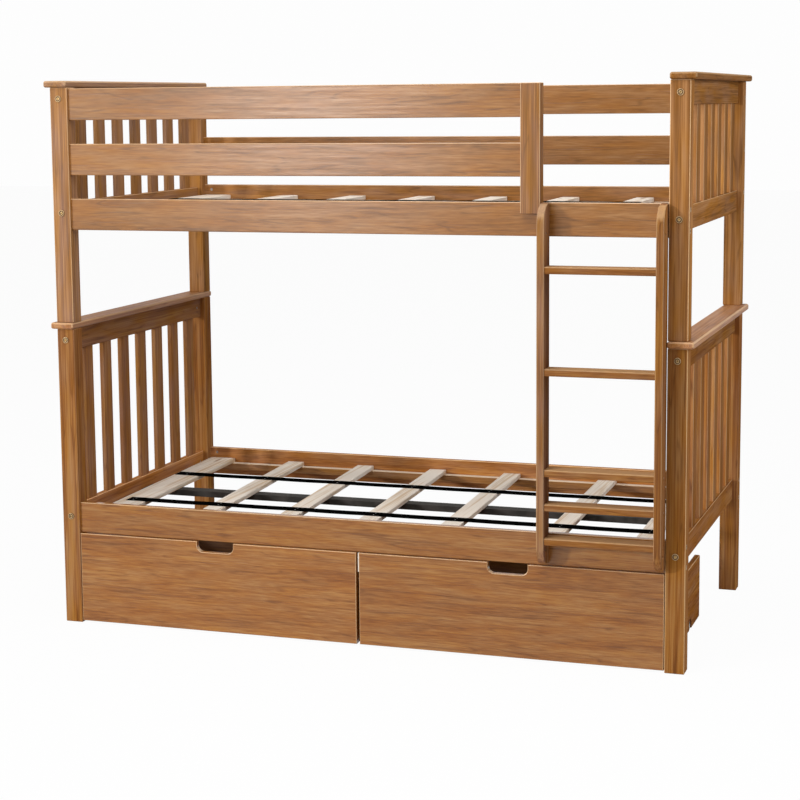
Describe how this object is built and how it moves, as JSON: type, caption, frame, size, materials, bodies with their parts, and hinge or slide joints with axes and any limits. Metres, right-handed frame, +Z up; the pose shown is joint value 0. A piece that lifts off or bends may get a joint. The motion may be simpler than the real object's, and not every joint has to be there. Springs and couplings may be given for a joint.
{
  "type": "bunk bed",
  "caption": "Wooden bunk bed with slatted end panels, guard rails, bolted ladder and rolling drawers under the lower bunk.",
  "frame": {"origin": "on the floor at the middle of the bed's box in plan", "axes": "+X along the bed towards the ladder end, +Y from the front to the back, +Z up"},
  "size_m": [2.088, 1.1606, 1.77],
  "materials": {
    "stained_wood": "satin lacquer over honey stain",
    "raw_pine": "planed, unfinished",
    "drawer_board": "stained thin plywood",
    "webbing": "woven polypropylene",
    "black_steel": "black powder coat",
    "bronze_hardware": "antique plated",
    "zinc_hardware": "zinc plated",
    "wheel_plastic": "moulded"
  },
  "bodies": {
    "frame": {"back_mid_guard_rail": "stained_wood", "back_top_guard_rail": "stained_wood", "barrel_nuts": "zinc_hardware", "bolts_and_screws": "bronze_hardware", "centre_beams": "black_steel", "front_mid_guard_rail": "stained_wood", "front_top_guard_rail": "stained_wood", "guard_post": "stained_wood", "ladder_left_stile": "stained_wood", "ladder_right_stile": "stained_wood", "ladder_rungs": "stained_wood", "lower_back_left_post": "stained_wood", "lower_back_rail": "stained_wood", "lower_back_right_post": "stained_wood", "lower_front_left_post": "stained_wood", "lower_front_rail": "stained_wood", "lower_front_right_post": "stained_wood", "lower_left_cap": "stained_wood", "lower_left_panel_bottom_rail": "stained_wood", "lower_left_panel_slats": "stained_wood", "lower_left_panel_top_rail": "stained_wood", "lower_right_cap": "stained_wood", "lower_right_panel_bottom_rail": "stained_wood", "lower_right_panel_slats": "stained_wood", "lower_right_panel_top_rail": "stained_wood", "lower_slats": "raw_pine", "pins_and_dowels": "zinc_hardware", "slat_cleats": "stained_wood", "slat_straps": "webbing", "upper_back_left_post": "stained_wood", "upper_back_rail": "stained_wood", "upper_back_right_post": "stained_wood", "upper_front_left_post": "stained_wood", "upper_front_rail": "stained_wood", "upper_front_right_post": "stained_wood", "upper_left_cap": "stained_wood", "upper_left_panel_bottom_rail": "stained_wood", "upper_left_panel_slats": "stained_wood", "upper_left_panel_top_rail": "stained_wood", "upper_right_cap": "stained_wood", "upper_right_panel_bottom_rail": "stained_wood", "upper_right_panel_slats": "stained_wood", "upper_right_panel_top_rail": "stained_wood", "upper_slats": "raw_pine"},
    "left_drawer": {"left_drawer_back": "stained_wood", "left_drawer_base": "drawer_board", "left_drawer_casters": "zinc_hardware", "left_drawer_front": "stained_wood", "left_drawer_left_side": "stained_wood", "left_drawer_right_side": "stained_wood"},
    "left_back_wheels": {"left_drawer_back_wheels": "wheel_plastic"},
    "left_front_wheels": {"left_drawer_front_wheels": "wheel_plastic"},
    "right_drawer": {"right_drawer_back": "stained_wood", "right_drawer_base": "drawer_board", "right_drawer_casters": "zinc_hardware", "right_drawer_front": "stained_wood", "right_drawer_left_side": "stained_wood", "right_drawer_right_side": "stained_wood"},
    "right_back_wheels": {"right_drawer_back_wheels": "wheel_plastic"},
    "right_front_wheels": {"right_drawer_front_wheels": "wheel_plastic"}
  },
  "joints": [
    {"name": "left_drawer_slide", "type": "slide", "parent": "frame", "child": "left_drawer", "axis": [0, -1, 0], "range_m": [0, 0.6]},
    {"name": "left_front_wheels_roll", "type": "hinge", "parent": "left_drawer", "child": "left_front_wheels", "pos_m": [0, -0.40925, 0.02], "axis": [1, 0, 0], "continuous": true},
    {"name": "left_back_wheels_roll", "type": "hinge", "parent": "left_drawer", "child": "left_back_wheels", "pos_m": [0, -0.05025, 0.02], "axis": [1, 0, 0], "continuous": true},
    {"name": "right_drawer_slide", "type": "slide", "parent": "frame", "child": "right_drawer", "axis": [0, -1, 0], "range_m": [0, 0.6]},
    {"name": "right_front_wheels_roll", "type": "hinge", "parent": "right_drawer", "child": "right_front_wheels", "pos_m": [0, -0.40925, 0.02], "axis": [1, 0, 0], "continuous": true},
    {"name": "right_back_wheels_roll", "type": "hinge", "parent": "right_drawer", "child": "right_back_wheels", "pos_m": [0, -0.05025, 0.02], "axis": [1, 0, 0], "continuous": true}
  ],
  "couplings": [
    {"joint": "left_front_wheels_roll", "follows": "left_drawer_slide", "rad_per_m": 50},
    {"joint": "left_back_wheels_roll", "follows": "left_drawer_slide", "rad_per_m": 50},
    {"joint": "right_front_wheels_roll", "follows": "right_drawer_slide", "rad_per_m": 50},
    {"joint": "right_back_wheels_roll", "follows": "right_drawer_slide", "rad_per_m": 50}
  ]
}
